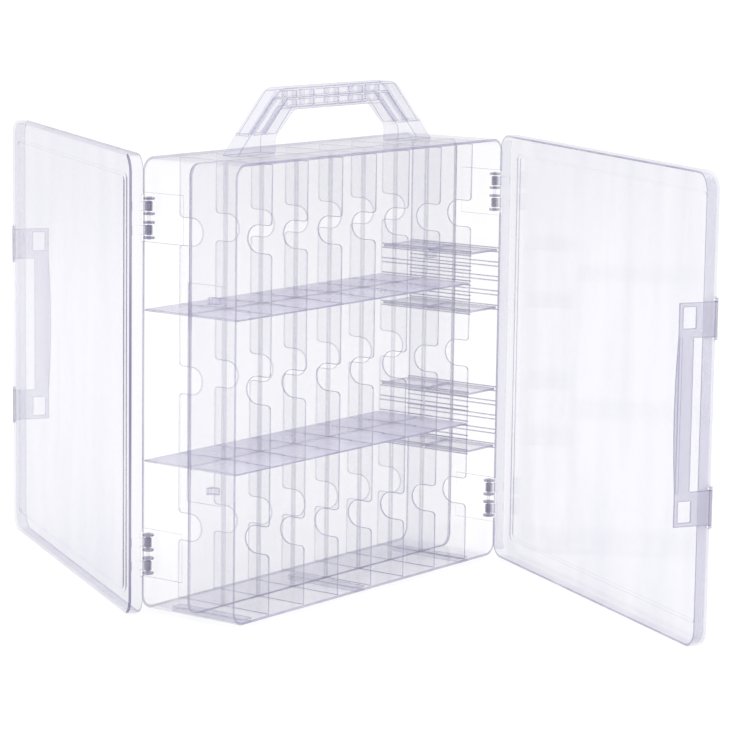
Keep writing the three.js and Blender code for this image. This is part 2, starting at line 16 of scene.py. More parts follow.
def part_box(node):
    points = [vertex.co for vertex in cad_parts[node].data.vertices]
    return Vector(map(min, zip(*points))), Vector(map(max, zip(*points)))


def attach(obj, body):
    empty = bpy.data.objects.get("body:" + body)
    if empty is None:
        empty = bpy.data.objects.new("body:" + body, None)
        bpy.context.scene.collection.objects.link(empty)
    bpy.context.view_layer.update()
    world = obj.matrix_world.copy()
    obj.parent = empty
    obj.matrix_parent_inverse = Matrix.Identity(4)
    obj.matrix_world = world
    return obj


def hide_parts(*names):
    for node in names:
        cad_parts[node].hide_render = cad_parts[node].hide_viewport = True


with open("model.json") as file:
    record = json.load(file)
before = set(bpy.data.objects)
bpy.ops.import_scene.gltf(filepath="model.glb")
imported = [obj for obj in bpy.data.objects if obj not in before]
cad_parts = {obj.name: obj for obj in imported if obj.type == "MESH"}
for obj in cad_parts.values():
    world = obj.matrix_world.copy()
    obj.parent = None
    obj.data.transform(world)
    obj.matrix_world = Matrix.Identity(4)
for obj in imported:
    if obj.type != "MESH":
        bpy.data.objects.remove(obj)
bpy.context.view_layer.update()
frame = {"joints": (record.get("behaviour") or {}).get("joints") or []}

bl_info = {
    "name": "Clear sewing organiser",
    "version": (1, 0, 0),
    "blender": (4, 5, 0),
    "location": "3D View > Sidebar > Sewing box",
    "description": "Builds a clear two-sided sewing organiser with lids, latches and a handle",
    "category": "Add Mesh",
}

MM = 0.001


# ---- places that the frame gives -------------------------------------------------------
def middle_of(node):
    low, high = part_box(node)
    return (low + high) / 2


def joint(name):
    return next(j for j in frame["joints"] if j["name"] == name)


PARTITION_LOW, PARTITION_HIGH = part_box("partition")
DIVIDER_LOW, DIVIDER_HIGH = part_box("back_divider_1")
SHELF_LOW, SHELF_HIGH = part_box("back_shelf_lower")
HANDLE_LOW, HANDLE_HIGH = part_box("carrying_handle")
CASE_GAP = DIVIDER_LOW.y - PARTITION_HIGH.y
SHEET = DIVIDER_HIGH.x - DIVIDER_LOW.x
RIM = DIVIDER_HIGH.y
DIVIDERS = 7
SHELF_HEIGHTS = [middle_of(f"back_shelf_{name}").z for name in ("lower", "upper")]
DIVIDER_XS = [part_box(f"back_divider_{i + 1}")[0].x + SHEET / 2 for i in range(DIVIDERS)]
SMALL_PLATES = 4
LID_PIN = Vector(joint("front_lid_hinge")["pos_m"])
HINGE_HEIGHTS = [middle_of(f"front_lid_pin_{name}").z for name in ("lower", "upper")]
HINGE_HALF = (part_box("front_lid_pin_lower")[1].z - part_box("front_lid_pin_lower")[0].z) / 2
SIDES = {"front": 0.0, "back": math.pi}


def lid_matrix(side):
    """Turns a lid drawn shut in front to where it stands at rest, on its own corner."""
    open_angle = -math.radians(joint(f"{side}_lid_hinge")["range_deg"][0])
    corner = Matrix.Rotation(SIDES[side], 4, "Z")
    pin = Vector((LID_PIN.x, LID_PIN.y, 0))
    swing = Matrix.Translation(pin) @ Matrix.Rotation(open_angle, 4, "Z")
    return corner @ swing @ Matrix.Translation(-pin)


# ---- sizes and colours that a user would change ----------------------------------------
def length(name, description, default):
    return bpy.props.FloatProperty(
        name=name, description=description, default=default, unit="LENGTH", precision=5)


def colour(name, description, default):
    return bpy.props.FloatVectorProperty(
        name=name, description=description, default=srgb(default)[:3], subtype="COLOR",
        min=0, max=1)


def srgb(code):
    """A hex colour such as C9C8DC, turned from sRGB to linear."""
    parts = [int(code[i:i + 2], 16) / 255 for i in (0, 2, 4)]
    linear = [c / 12.92 if c <= 0.04045 else ((c + 0.055) / 1.055) ** 2.4 for c in parts]
    return (*linear, 1.0)


class CaseSizes(bpy.types.PropertyGroup):
    wall: length("Wall", "Thickness of the case's side walls", 2 * MM)
    corner: length("Corner", "Outside corner radius of the case", 11 * MM)
    root: length("Root fillet", "Radius where a sheet grows out of the partition", 0.5 * MM)
    edge: length("Edge round", "Radius on the edges of sheets and walls", 0.35 * MM)
    notch_height: length("Notch height", "Height of a finger notch", 20 * MM)
    notch_depth: length("Notch depth", "Depth of a finger notch", 22 * MM)
    notch_mouth: length("Notch mouth", "Radius where a notch meets the free edge", 3.5 * MM)
    lap: length("Half lap", "Where the divider's slot ends and the shelf's begins", 22.05 * MM)
    rib: length("Groove rib", "Thickness of the ribs that hold the loose plates", 0.9 * MM)
    rib_height: length("Rib height", "How far the groove ribs stand out", 1.2 * MM)
    rib_pair: length("Rib pair", "Between the middles of the two ribs of a groove", 3.2 * MM)
    rib_pitch: length("Groove pitch", "From one groove to the next", 11.35 * MM)
    grooves: bpy.props.IntProperty(
        name="Grooves", description="Grooves at each shelf height", default=5, min=1)
    pocket: length("Pocket depth", "Depth of the recess round hinges and catches", 0.5 * MM)
    hinge_pocket: length("Hinge pocket", "From the rim to the end of a hinge's pocket", 38 * MM)
    catch_pocket: length("Catch pocket", "Width of the catches' pocket", 31 * MM)
    catch_pocket_height: length("Catch pocket height", "Height of that pocket", 157 * MM)
    foot_width: length("Foot width", "Width of a foot bar", 12 * MM)
    foot_length: length("Foot length", "Length of a foot bar", 68 * MM)
    foot_spacing: length("Foot spacing", "Between foot bars", 135 * MM)


class LidSizes(bpy.types.PropertyGroup):
    clear: length("Clearance", "Between the case and the lid's skirt", 0.8 * MM)
    skirt: length("Skirt", "Thickness of the lid's skirt", 1.8 * MM)
    panel: length("Panel", "Thickness of the lid's panel", 1.6 * MM)
    proud: length("Proud", "Lid's outer face in front of the case's rim", 5 * MM)
    depth: length("Depth", "From the outer face to the end of the skirt", 10.5 * MM)
    shoulder: length("Shoulder", "Radius along the lid's outer edge", 1.8 * MM)
    field: length("Field inset", "From the edge to the stepped middle field", 15 * MM)
    step: length("Field step", "How far the field steps in", 1.2 * MM)
    field_corner: length("Field corner", "Smallest corner radius of the field", 4 * MM)


class FittingSizes(bpy.types.PropertyGroup):
    ear: length("Ear radius", "Radius of the hinge ears", 4.2 * MM)
    ear_thick: length("Ear thickness", "Thickness of a hinge ear", 1.6 * MM)
    ear_inner: length("Inner ears", "Middle of the inner ears from the hinge's middle", 3.1 * MM)
    ear_outer: length("Outer ears", "Middle of the outer ears from the hinge's middle", 14 * MM)
    knuckle: length("Knuckle radius", "Radius of the lid's hinge knuckles", 2.6 * MM)
    knuckle_gap: length("Knuckle gap", "Between an ear and the next knuckle", 1.3 * MM)
    bore: length("Bore", "Radius of the hole through knuckles and ears", 1.5 * MM)
    pin: length("Pin radius", "Radius of a hinge pin", 1.2 * MM)
    pin_head: length("Pin head", "Radius of a hinge pin's head", 2 * MM)
    hook_length: length("Catch length", "Length of a catch along the wall", 8 * MM)
    hook_width: length("Catch width", "Width of a catch", 5 * MM)
    hook_from_rim: length("Catch from rim", "From the rim to the catch", 13.4 * MM)
    hook_out: length("Catch height", "How far a catch stands out of the wall", 5 * MM)
    hook_flat: length("Catch flat", "Flat end of a catch, next to its slope", 1.9 * MM)
    latch: length("Latch sheet", "Thickness of the latch", 1.6 * MM)
    latch_reach: length("Latch reach", "From the latch's pivot to its tip", 28.7 * MM)
    latch_bow: length("Latch bow", "How far the grip bar bows out", 1.8 * MM)
    latch_spacing: length("Window spacing", "Between the latch's two windows", 136 * MM)
    latch_bar: length("Latch bar", "From the pivot to the grip bar", 16.9 * MM)
    leg_outer: length("Leg outside", "From a window's middle to the leg's outer end", 14 * MM)
    leg_inner: length("Leg inside", "From a window's middle to the leg's inner end", 10.5 * MM)
    window_from: length("Window from pivot", "From the pivot to a window", 15.6 * MM)
    window_width: length("Window width", "Width of a latch window", 10 * MM)
    window_height: length("Window height", "Height of a latch window", 15 * MM)
    lip: length("Lip", "Width of the lip along the latch's tip", 2.2 * MM)
    lip_proud: length("Lip proud", "How far the lip stands out", 1.2 * MM)
    latch_knuckle: length("Latch knuckle", "Radius of the latch's knuckles", 1.5 * MM)
    latch_ear: length("Latch ear", "Radius of the lid's ears for the latch", 1.7 * MM)
    latch_ear_thick: length("Latch ear thickness", "Thickness of such an ear", 2 * MM)
    latch_pin: length("Latch pin", "Radius of a latch pin", 0.7 * MM)
    latch_pin_head: length("Latch pin head", "Radius of a latch pin's head", 1.7 * MM)


class HandleSizes(bpy.types.PropertyGroup):
    top: length("Top", "Half the length at the top corners", 70 * MM)
    rounding: length("Rounding", "Size of the round top corners", 7 * MM)
    opening_foot: length("Opening foot", "Half the hand opening at the bottom", 74.5 * MM)
    opening_top: length("Opening top", "Half the hand opening at the top", 52.5 * MM)
    knee: length("Knee", "Height where the opening starts to slant", 12 * MM)
    grip: length("Grip underside", "Height of the grip's underside", 31 * MM)
    skin: length("Skin", "Rim left round the pockets", 2.2 * MM)
    rib: length("Rib", "Thickness of the ribs", 1.6 * MM)
    mid_rib: length("Middle rib", "From the grip's middle to the next rib", 29.5 * MM)
    last_rib: length("Last rib", "From the grip's middle to the last rib", 50 * MM)
    web: length("Web", "Thickness of the web between the pockets", 2 * MM)
    foot: length("Foot block", "Height of the closed foot blocks", 15 * MM)
    ledge_out: length("Ledge outside", "How far a ledge passes the arm outside", 1.5 * MM)
    ledge_in: length("Ledge inside", "How far a ledge passes the arm inside", 2.5 * MM)


class ClearColours(bpy.types.PropertyGroup):
    tint: colour("Tint", "What one face of the clear plastic lets through", "FEFEFE")
    body: colour("Body", "The plastic seen along the sheet", "BAB7D4")
    # Painted light: a lighter copy of the body colour, so that the shelves and loose plates look
    # lit, though the light that reaches them passes through many layers.
    shelf: colour("Shelf", "The flat shelves and loose plates, seen almost edge on", "E2E0F1")
    latch: colour("Latch", "The latches, a thicker sheet than the lids", "BCBACD")
    edge: colour("Edge", "The plastic's narrow faces and edges", "7D78A0")
    # Also the colour of the painted shade on the back lid's step and shoulder beside the hinge.
    thick: colour("Thick", "The plastic where it is thickest", "625D86")


class StudioSettings(bpy.types.PropertyGroup):
    azimuth: bpy.props.FloatProperty(
        name="Azimuth", description="Camera's turn round the box", subtype="ANGLE",
        default=math.radians(-52.99))
    elevation: bpy.props.FloatProperty(
        name="Elevation", description="Camera's height angle", subtype="ANGLE",
        default=math.radians(8.86))
    roll: bpy.props.FloatProperty(
        name="Roll", description="Camera's tilt about its own axis", subtype="ANGLE",
        default=math.radians(0.78))
    distance: length("Distance", "Camera to the point that it looks at", 2.336)
    aim: bpy.props.FloatVectorProperty(
        name="Aim", description="Point that the camera looks at", unit="LENGTH",
        default=(0.0164, -0.0218, 0.1698))
    lens: bpy.props.FloatProperty(
        name="Lens", description="Focal length in millimetres", default=153.3)


# ---- solids ----------------------------------------------------------------------------
HINGE_SIDE = 5 * MM
ARC_STEP = math.radians(6)
ROUND_SIDES = 32


def arc(a, b, radius, start, end):
    """Points on a circle, from one angle to another in degrees."""
    start, end = math.radians(start), math.radians(end)
    steps = max(2, round(abs(end - start) / ARC_STEP))
    turns = [start + (end - start) * i / steps for i in range(steps + 1)]
    return [(a + radius * math.cos(t), b + radius * math.sin(t)) for t in turns]


def curve(start, control, end, steps=8):
    """Points on a quadratic curve."""
    points = []
    for i in range(steps + 1):
        t = i / steps
        weights = ((1 - t) ** 2, 2 * t * (1 - t), t * t)
        points.append(tuple(
            sum(w * p[k] for w, p in zip(weights, (start, control, end))) for k in (0, 1)))
    return points


def rounded_rectangle(left, right, bottom, top, radius):
    return [
        *arc(right - radius, bottom + radius, radius, -90, 0),
        *arc(right - radius, top - radius, radius, 0, 90),
        *arc(left + radius, top - radius, radius, 90, 180),
        *arc(left + radius, bottom + radius, radius, 180, 270),
    ]


def clean_outline(points):
    """The outline without a repeated point."""
    kept = []
    for point in points:
        if not kept or (Vector(point) - Vector(kept[-1])).length > 1e-6:
            kept.append(point)
    if (Vector(kept[0]) - Vector(kept[-1])).length <= 1e-6:
        kept.pop()
    return kept


def to_mesh(name, bm):
    bmesh.ops.recalc_face_normals(bm, faces=bm.faces)
    mesh = bpy.data.meshes.new(name)
    bm.to_mesh(mesh)
    bm.free()
    return mesh


def prism(outline, axis, low, high):
    """The outline, drawn in the two other axes in order, filled along one axis."""
    places = {
        "X": lambda a, b, c: (c, a, b), "Y": lambda a, b, c: (a, c, b),
        "Z": lambda a, b, c: (a, b, c),
    }
    place = places[axis]
    outline = clean_outline(outline)
    bm = bmesh.new()
    rings = [[bm.verts.new(place(a, b, c)) for a, b in outline] for c in (low, high)]
    for ring in rings:
        bm.faces.new(ring)
    for i in range(len(outline)):
        j = (i + 1) % len(outline)
        bm.faces.new((rings[0][i], rings[0][j], rings[1][j], rings[1][i]))
    return to_mesh("prism", bm)


def block(low, high):
    outline = [(low[0], low[1]), (high[0], low[1]), (high[0], high[1]), (low[0], high[1])]
    return prism(outline, "Z", low[2], high[2])


def upright(x, y, radius, low, high):
    return prism(arc(x, y, radius, 0, 360), "Z", low, high)


def lathe(x, y, profile):
    """A round solid about an upright axis; the profile goes from the axis to the axis."""
    bm = bmesh.new()
    rings = []
    for radius, z in profile:
        if radius < 1e-7:
            rings.append([bm.verts.new((x, y, z))] * ROUND_SIDES)
            continue
        turns = [2 * math.pi * i / ROUND_SIDES for i in range(ROUND_SIDES)]
        rings.append([
            bm.verts.new((x + radius * math.cos(t), y + radius * math.sin(t), z))
            for t in turns])
    join_rings(bm, rings)
    return to_mesh("lathe", bm)


def join_rings(bm, rings):
    """Faces between each ring of corners and the next."""
    for lower, upper in zip(rings, rings[1:]):
        for i in range(len(lower)):
            j = (i + 1) % len(lower)
            corners = [lower[i], lower[j], upper[j], upper[i]]
            unique = list(dict.fromkeys(corners))
            if len(unique) > 2:
                bm.faces.new(unique)


def combine(base, added=(), removed=()):
    """One mesh: the base with the added solids joined on and the removed ones cut away."""
    scene = bpy.context.scene
    holder = bpy.data.objects.new("work", base)
    scene.collection.objects.link(holder)
    tools = []
    steps = [(mesh, "UNION") for mesh in added] + [(mesh, "DIFFERENCE") for mesh in removed]
    for mesh, operation in steps:
        tool = bpy.data.objects.new("tool", mesh)
        scene.collection.objects.link(tool)
        tools.append(tool)
        modifier = holder.modifiers.new(operation, "BOOLEAN")
        modifier.operation = operation
        modifier.solver = "EXACT"
        modifier.object = tool
    graph = bpy.context.evaluated_depsgraph_get()
    result = bpy.data.meshes.new_from_object(holder.evaluated_get(graph))
    for item in [holder, *tools]:
        bpy.data.objects.remove(item)
    return result


def group(meshes):
    """Separate solids as one mesh."""
    bm = bmesh.new()
    for mesh in meshes:
        bm.from_mesh(mesh)
    return to_mesh("group", bm)


def soften(mesh, radius, segments=2, sharp=35):
    """Rounds every outward edge that turns by more than the sharp angle, in degrees. The
    rounded strips take the second material."""
    bm = bmesh.new()
    bm.from_mesh(mesh)
    bmesh.ops.remove_doubles(bm, verts=bm.verts, dist=1e-6)
    bmesh.ops.dissolve_limit(
        bm, angle_limit=math.radians(0.5), verts=bm.verts, edges=bm.edges)
    limit = math.radians(sharp)
    edges = [
        e for e in bm.edges
        if len(e.link_faces) == 2 and e.is_convex and e.calc_face_angle(0) > limit]
    bmesh.ops.bevel(
        bm, geom=edges, offset=radius, offset_type="OFFSET", segments=segments, profile=0.5,
        affect="EDGES", clamp_overlap=False, material=1)
    return to_mesh(mesh.name, bm)


def add_piece(name, mesh, materials, body, nodes=(), edge=None, matrix=None):
    """Puts a finished mesh in the scene on its body. edge(normal, centre) gives the number of
    the material that a face takes, where it isn't the one it has."""
    for material in materials:
        mesh.materials.append(material)
    for face in mesh.polygons:
        face.use_smooth = True
        if edge:
            face.material_index = int(edge(face.normal, face.center)) or face.material_index
    mesh.set_sharp_from_angle(angle=math.radians(35))
    if matrix is not None:
        mesh.transform(matrix)
    mesh.name = name
    piece = bpy.data.objects.new(name, mesh)
    bpy.context.scene.collection.objects.link(piece)
    weighted = piece.modifiers.new("Even shading", "WEIGHTED_NORMAL")
    weighted.keep_sharp = True
    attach(piece, body)
    if nodes:
        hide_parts(*nodes)
    return piece


# ---- materials -------------------------------------------------------------------------
def add_node(tree, kind, settings=None, **inputs):
    """Adds a node. Each input is a value, or a socket to link from."""
    made = tree.nodes.new(kind)
    for name, value in (settings or {}).items():
        setattr(made, name, value)
    for name, value in inputs.items():
        socket = made.inputs[name.replace("_", " ")]
        if isinstance(value, bpy.types.NodeSocket):
            tree.links.new(value, socket)
        else:
            socket.default_value = value
    return made


def clear_polystyrene(name, body, face_on, edge_on, roughness):
    """Clear general-purpose polystyrene, injection moulded and glossy. Face on, the eye looks
    through it; along the sheet it turns lavender-grey. Streaks and slow waves, from the flow
    in the mould, make it uneven and break up its reflections, and handling leaves a faint
    haze. face_on and edge_on are how dense it looks, from 0 to 1, at those two angles."""
    if name in bpy.data.materials:
        return bpy.data.materials[name]
    material = bpy.data.materials.new(name)
    material.use_nodes = True
    tree = material.node_tree
    tree.nodes.clear()
    tint = (*bpy.context.scene.organiser_colours.tint, 1)
    flow_size, wave_size, scuff_size = 30 * MM, 9 * MM, 1.6 * MM
    place = add_node(tree, "ShaderNodeTexCoord").outputs["Object"]
    drawn = add_node(tree, "ShaderNodeVectorMath", {"operation": "MULTIPLY"}, Vector=place)
    drawn.inputs[1].default_value = (1, 1, 0.2)  # the streaks run five times as long upwards
    flow = add_node(
        tree, "ShaderNodeTexNoise", Vector=drawn.outputs[0], Scale=1 / flow_size, Detail=3.0,
        Roughness=0.5)
    wave = add_node(
        tree, "ShaderNodeTexNoise", Vector=place, Scale=1 / wave_size, Detail=1.0)
    scuff = add_node(
        tree, "ShaderNodeTexNoise", Vector=place, Scale=1 / scuff_size, Detail=3.0,
        Roughness=0.7)
    bump = add_node(
        tree, "ShaderNodeBump", Strength=0.25, Distance=0.15 * MM, Height=wave.outputs["Fac"])
    shine = add_node(
        tree, "ShaderNodeMapRange", Value=scuff.outputs["Fac"], To_Min=roughness,
        To_Max=roughness + 0.12)
    facing = add_node(tree, "ShaderNodeLayerWeight", Blend=0.5)
    along = add_node(
        tree, "ShaderNodeMath", {"operation": "POWER"}, Value=facing.outputs["Facing"])
    along.inputs[1].default_value = 3.0
    density = add_node(
        tree, "ShaderNodeMapRange", Value=along.outputs[0], To_Min=face_on, To_Max=edge_on)
    uneven = add_node(
        tree, "ShaderNodeMapRange", Value=flow.outputs["Fac"], From_Min=0.3, From_Max=0.7,
        To_Min=0.8, To_Max=1.2)
    amount = add_node(
        tree, "ShaderNodeMath", {"operation": "MULTIPLY", "use_clamp": True},
        Value=density.outputs["Result"])
    tree.links.new(uneven.outputs["Result"], amount.inputs[1])
    through = add_node(tree, "ShaderNodeBsdfTransparent", Color=tint)
    solid = add_node(
        tree, "ShaderNodeBsdfPrincipled", Base_Color=(*body, 1), IOR=1.59,
        Roughness=shine.outputs["Result"], Normal=bump.outputs["Normal"])
    inside = add_node(tree, "ShaderNodeMixShader", Fac=amount.outputs[0])
    tree.links.new(through.outputs[0], inside.inputs[1])
    tree.links.new(solid.outputs[0], inside.inputs[2])
    rippled = add_node(
        tree, "ShaderNodeLayerWeight", Blend=0.5, Normal=bump.outputs["Normal"])
    grazing = add_node(
        tree, "ShaderNodeMath", {"operation": "POWER"}, Value=rippled.outputs["Facing"])
    grazing.inputs[1].default_value = 5.0
    mirror = add_node(
        tree, "ShaderNodeMapRange", Value=grazing.outputs[0], To_Min=0.03, To_Max=0.45)
    gloss = add_node(
        tree, "ShaderNodeBsdfGlossy", Roughness=shine.outputs["Result"],
        Normal=bump.outputs["Normal"])
    surface = add_node(tree, "ShaderNodeMixShader", Fac=mirror.outputs[0])
    tree.links.new(inside.outputs[0], surface.inputs[1])
    tree.links.new(gloss.outputs[0], surface.inputs[2])
    add_node(tree, "ShaderNodeOutputMaterial", Surface=surface.outputs[0])
    return material


def finish(kind):
    """The materials of a piece: its broad faces, its narrow faces, and its roots, or a lid's
    corner. A thicker section gets a greater density, face on and along the sheet. On the lids
    the corner material is painted shade on the back lid. The shelves and loose plates take a
    lighter copy of the body colour, painted light, and the back latch and the back lid's skirt
    take lighter copies of the front ones' materials, painted light."""
    colours = bpy.context.scene.organiser_colours
    body, face_on, edge_on = {
        "case": (colours.body, 0.042, 0.26), "plate": (colours.body, 0.024, 0.28),
        # Painted light: the shelves and loose plates take the lighter shelf colour, made denser
        # along the sheet.
        "shelf": (colours.shelf, 0.05, 1.1), "loose plate": (colours.shelf, 0.02, 0.35),
        "lid": (colours.body, 0.11, 0.34), "handle": (colours.body, 0.12, 0.45),
        # Painted light: the lit latch and lit skirt are lighter copies of the latch and skirt,
        # which the back latch and the back lid's skirt take.
        "latch": (colours.latch, 0.42, 0.7), "lit latch": (colours.latch, 0.22, 0.6),
        "skirt": (colours.latch, 0.4, 0.6), "lit skirt": (colours.latch, 0.16, 0.4),
        "hinge": (colours.thick, 0.42, 0.85), "pin": (colours.body, 0.1, 0.6),
    }[kind]
    root_and_painted_shade = ("root", colours.edge, 0.2, 0.6)
    if kind == "lid":
        # On a lid the third material is painted shade: dark, dense strips on the back lid's step
        # and shoulder beside the hinge.
        root_and_painted_shade = ("corner", colours.thick, 0.9, 0.98)
    parts = [
        (kind, body, face_on, edge_on, 0.05), ("edge", colours.edge, 0.5, 0.85, 0.1),
        (*root_and_painted_shade, 0.1)]
    return [clear_polystyrene(f"clear polystyrene {name}", *look) for name, *look in parts]


# ---- case ------------------------------------------------------------------------------
def case_outline(inset):
    """Left, right, bottom, top and corner radius of the case's outside, moved in by inset."""
    sizes = bpy.context.scene.organiser_case
    grow = CASE_GAP + sizes.wall - inset
    return (
        PARTITION_LOW.x - grow, PARTITION_HIGH.x + grow, PARTITION_LOW.z - grow,
        PARTITION_HIGH.z + grow, sizes.corner - inset)


def turned(meshes):
    """The same solids on the opposite corner of the case."""
    copies = []
    for mesh in meshes:
        copy = mesh.copy()
        copy.transform(Matrix.Rotation(math.pi, 4, "Z"))
        copies.append(copy)
    return copies


def on_side(mesh, side, place=(0, 0, 0)):
    """A copy, moved, of what is drawn behind the partition; for the front it is mirrored."""
    copy = mesh.copy()
    flip = 1 if side == "back" else -1
    copy.transform(Matrix.Translation(place) @ Matrix.Diagonal((1, flip, 1, 1)))
    if flip < 0:
        copy.flip_normals()
    return copy


class ORGANISER_OT_case_wall(bpy.types.Operator):
    """Builds the outer wall of the case, with its shallow pockets"""
    bl_idname = "organiser.case_wall"
    bl_label = "Case wall"

    def execute(self, context):
        sizes = context.scene.organiser_case
        left, right, bottom, top, radius = case_outline(0)
        outside = prism(rounded_rectangle(left, right, bottom, top, radius), "Y", -RIM, RIM)
        inside = prism(
            rounded_rectangle(*case_outline(sizes.wall)), "Y", -RIM - MM, RIM + MM)
        pockets = []
        for height in HINGE_HEIGHTS:
            half = HINGE_HALF + 2 * MM
            pockets.append(block(
                (right - sizes.pocket, -RIM - MM, height - half),
                (right + MM, -RIM + sizes.hinge_pocket, height + half)))
        centre, half = (bottom + top) / 2, sizes.catch_pocket_height / 2
        pockets.append(block(
            (left - MM, -sizes.catch_pocket, centre - half),
            (left + sizes.pocket, 0, centre + half)))
        shell = combine(outside, removed=[inside, *pockets, *turned(pockets)])
        shell = soften(shell, sizes.edge)
        add_piece(
            "case_wall", shell, finish("case"), "case",
            ["case_wall"], edge=lambda normal, centre: abs(normal.y) > 0.7)
        return {"FINISHED"}


class ORGANISER_OT_case_fittings(bpy.types.Operator):
    """Builds the hinge ears, catches, groove ribs and foot bars of the case"""
    bl_idname = "organiser.case_fittings"
    bl_label = "Case fittings"

    def execute(self, context):
        sizes, fittings = context.scene.organiser_case, context.scene.organiser_fittings
        left, _, bottom, top, _ = case_outline(0)
        self.ears(fittings)
        self.catches(fittings, left, (bottom + top) / 2, sizes.pocket)
        self.ribs(sizes)
        self.feet(sizes, bottom)
        return {"FINISHED"}

    def ears(self, sizes):
        solids = []
        for height in HINGE_HEIGHTS:
            inner, outer = sizes.ear_inner, sizes.ear_outer
            for offset in (-outer, -inner, inner, outer):
                low = height + offset - sizes.ear_thick / 2
                ear = upright(LID_PIN.x, LID_PIN.y, sizes.ear, low, low + sizes.ear_thick)
                bore = upright(LID_PIN.x, LID_PIN.y, sizes.bore, low - MM, low + 3 * MM)
                solids.append(soften(combine(ear, removed=[bore]), 0.45 * MM, 3))
        for side, ears in (("front", solids), ("back", turned(solids))):
            add_piece(
                f"{side}_hinge_ears", group(ears), finish("hinge"), "case")

    def catches(self, sizes, wall, centre, sunk):
        near = -RIM + sizes.hook_from_rim
        far = near + sizes.hook_length
        root, out = wall + sunk + 0.2 * MM, wall - sizes.hook_out
        outline = [
            (root, near), (wall, near), (out, far - sizes.hook_flat), (out, far), (root, far)]
        half = sizes.hook_width / 2
        solids = []
        for sign in (-1, 1):
            height = centre + sign * sizes.latch_spacing / 2
            solids.append(soften(prism(outline, "Z", height - half, height + half), 0.4 * MM))
        for side, hooks in (("front", solids), ("back", turned(solids))):
            add_piece(
                f"{side}_catches", group(hooks), finish("handle"), "case")

    def ribs(self, sizes):
        divider_face = DIVIDER_XS[-1] + SHEET / 2
        wall_face = PARTITION_HIGH.x + CASE_GAP
        spans = [
            (divider_face - 0.1 * MM, divider_face + sizes.rib_height),
            (wall_face - sizes.rib_height, wall_face + 0.1 * MM)]
        solids = []
        for shelf in SHELF_HEIGHTS:
            for i in range(sizes.grooves):
                centre = shelf + (i - (sizes.grooves - 1) / 2) * sizes.rib_pitch
                for z in (centre - sizes.rib_pair / 2, centre + sizes.rib_pair / 2):
                    for low, high in spans:
                        solids.append(soften(block(
                            (low, PARTITION_HIGH.y + 0.1 * MM, z - sizes.rib / 2),
                            (high, RIM - 0.2 * MM, z + sizes.rib / 2)), 0.25 * MM))
        ribs = group(solids)
        for side in SIDES:
            add_piece(
                f"{side}_groove_ribs", on_side(ribs, side), finish("latch"), "case")

    def feet(self, sizes, bottom):
        solids = []
        for i in (-1, 0, 1):
            outline = rounded_rectangle(
                i * sizes.foot_spacing - sizes.foot_width / 2,
                i * sizes.foot_spacing + sizes.foot_width / 2,
                -sizes.foot_length / 2, sizes.foot_length / 2, 3 * MM)
            solids.append(soften(prism(outline, "Z", 0, bottom + 0.2 * MM), 0.6 * MM))
        add_piece("foot_bars", group(solids), finish("handle"), "case")


class ORGANISER_OT_partition(bpy.types.Operator):
    """Builds the upright sheet between the front and the back"""
    bl_idname = "organiser.partition"
    bl_label = "Partition"

    def execute(self, context):
        sizes = context.scene.organiser_case
        half = (PARTITION_HIGH.y - PARTITION_LOW.y) / 2
        root = sizes.root
        front = [(root + x, -half - root + y) for x, y in arc(0, 0, root, 90, 180)]
        profile = [*front, *[(inset, -y) for inset, y in reversed(front)]]
        bm = bmesh.new()
        rings = []
        for inset, y in profile:
            left, right, bottom, top, radius = case_outline(sizes.wall + CASE_GAP + inset)
            rings.append([
                bm.verts.new((x, y, z))
                for x, z in rounded_corners(left, right, bottom, top, radius)])
        join_rings(bm, rings)
        bm.faces.new(rings[0])
        bm.faces.new(rings[-1])
        add_piece(
            "partition", to_mesh("partition", bm), finish("case"), "case",
            ["partition"], edge=lambda normal, centre: abs(normal.y) < 0.98)
        return {"FINISHED"}


# ---- dividers, shelves and loose plates ------------------------------------------------
def sheet_section(start, end, half, root):
    """A sheet's section, along its depth: a flared root at the start and a round free edge."""
    return [
        *arc(start + root, half + root, root, 180, 270),
        *arc(end - half, 0, half, 90, -90),
        *arc(start + root, -half - root, root, 90, 180),
    ]


def divider_edge(normal, centre, root):
    """The material of a divider's face. Its root and, behind, its edges are softer; the half
    laps' faces stay clear."""
    if abs(centre.y) < PARTITION_HIGH.y + 2 * root:
        return 2 * (abs(normal.x) < 0.99)
    at_shelf = min(abs(centre.z - height) for height in SHELF_HEIGHTS) < 2 * MM
    if abs(normal.x) > 0.8 or at_shelf and abs(normal.z) > 0.3:
        return 0
    return 1 if centre.y < 0 else 2


def notch_outline(sizes, height):
    """A finger notch, drawn from the partition outwards and up, with its round mouth."""
    half = sizes.notch_height / 2
    mouth = sizes.notch_mouth
    outer = RIM + MM
    return [
        (outer, height - half - mouth), (RIM, height - half - mouth),
        *arc(RIM - mouth, height - half - mouth, mouth, 0, 90),
        *arc(RIM - sizes.notch_depth + half, height, half, 270, 90),
        *arc(RIM - mouth, height + half + mouth, mouth, -90, 0),
        (outer, height + half + mouth)]


